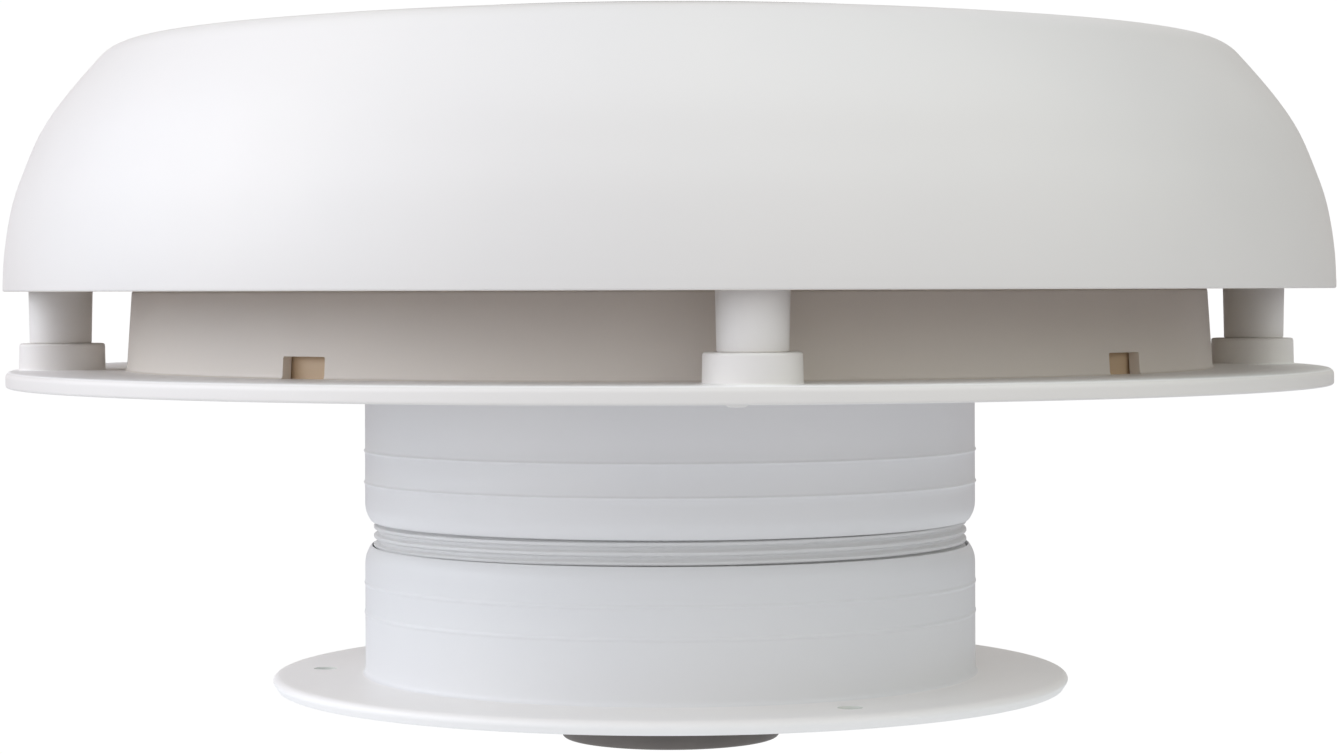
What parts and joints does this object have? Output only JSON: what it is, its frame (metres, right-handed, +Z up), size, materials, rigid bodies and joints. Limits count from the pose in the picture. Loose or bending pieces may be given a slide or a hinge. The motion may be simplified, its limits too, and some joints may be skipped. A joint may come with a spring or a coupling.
{
  "type": "solar marine vent",
  "caption": "Round low deck ventilator: domed rain hood with a solar module, fan in a short threaded duct, and a cabin trim ring with grille, damper and knob.",
  "frame": {"origin": "on the duct axis, in the plane of the deck flange's underside, where the vent sits on the deck", "axes": "+Z up along the duct axis, out of the deck; the four hood posts stand on the X and Y axes"},
  "size_m": [0.218, 0.218, 0.1188],
  "materials": {
    "white_hood": "smooth satin moulding",
    "white_deck": "smooth satin moulding",
    "white_trim": "smooth satin moulding",
    "white_sleeve": "satin moulding",
    "white_inner": "satin moulding",
    "board_white": "coated backing board",
    "cell_blue": "dark blue cell face with fine conductor lines",
    "clear_lens": "clear polished lens",
    "black_rubber": "soft matt rubber",
    "stainless": "drawn stainless steel",
    "zinc_steel": "zinc plated can",
    "bronze": "sintered bronze and copper",
    "ferrite": "dull sintered magnet",
    "black_plastic": "matt moulding",
    "lead_red": "insulated lead",
    "lead_black": "insulated lead",
    "armature": "laminated steel with enamelled winding",
    "dark_knob": "fine grained dark grey moulding"
  },
  "bodies": {
    "vent_body": {"hood_shell": "white_hood", "hood_posts": "white_hood", "solar_board": "board_white", "solar_cells": "cell_blue", "panel_lens": "clear_lens", "panel_gasket": "black_rubber", "deck_flange": "white_deck", "rain_collar": "white_deck", "duct_neck": "white_deck", "hood_screws": "stainless", "threaded_sleeve": "white_sleeve", "screen_ring": "white_sleeve", "insect_screen": "stainless", "motor_pod": "white_inner", "pod_screws": "stainless", "motor_can": "zinc_steel", "motor_bushes": "bronze", "motor_magnets": "ferrite", "motor_end_cap": "black_plastic", "motor_brushes": "bronze", "motor_terminals": "bronze", "lead_grommet": "black_rubber", "lead_red": "lead_red", "lead_black": "lead_black"},
    "fan": {"fan_shaft": "stainless", "motor_rotor": "armature", "commutator": "bronze", "fan_impeller": "white_inner"},
    "grille": {"grille_seat": "white_trim", "grille_guard": "white_trim", "guide_pins": "stainless"},
    "trim": {"trim_ring": "white_trim"},
    "control": {"knob": "dark_knob", "spindle": "stainless", "spindle_clips": "stainless", "knob_screw": "stainless"},
    "damper": {"damper_disc": "white_inner", "damper_seal": "black_rubber"}
  },
  "joints": [
    {"name": "fan_spin", "type": "hinge", "parent": "vent_body", "child": "fan", "pos_m": [0, 0, 0.02], "axis": [0, 0, 1], "continuous": true},
    {"name": "trim_travel", "type": "slide", "parent": "vent_body", "child": "grille", "axis": [0, 0, 1], "range_m": [-0.012, 0.003]},
    {"name": "trim_turn", "type": "hinge", "parent": "grille", "child": "trim", "pos_m": [0, 0, -0.0478], "axis": [0, 0, 1], "range_deg": [-2880, 720]},
    {"name": "knob_turn", "type": "hinge", "parent": "grille", "child": "control", "pos_m": [0, 0, -0.055], "axis": [0, 0, 1], "range_deg": [0, 540]},
    {"name": "damper_lift", "type": "slide", "parent": "grille", "child": "damper", "axis": [0, 0, 1], "range_m": [-0.012, 0]}
  ],
  "couplings": [
    {"joint": "trim_travel", "follows": "trim_turn", "m_per_rad": 0.00023873},
    {"joint": "damper_lift", "follows": "knob_turn", "m_per_rad": -0.0012732}
  ]
}
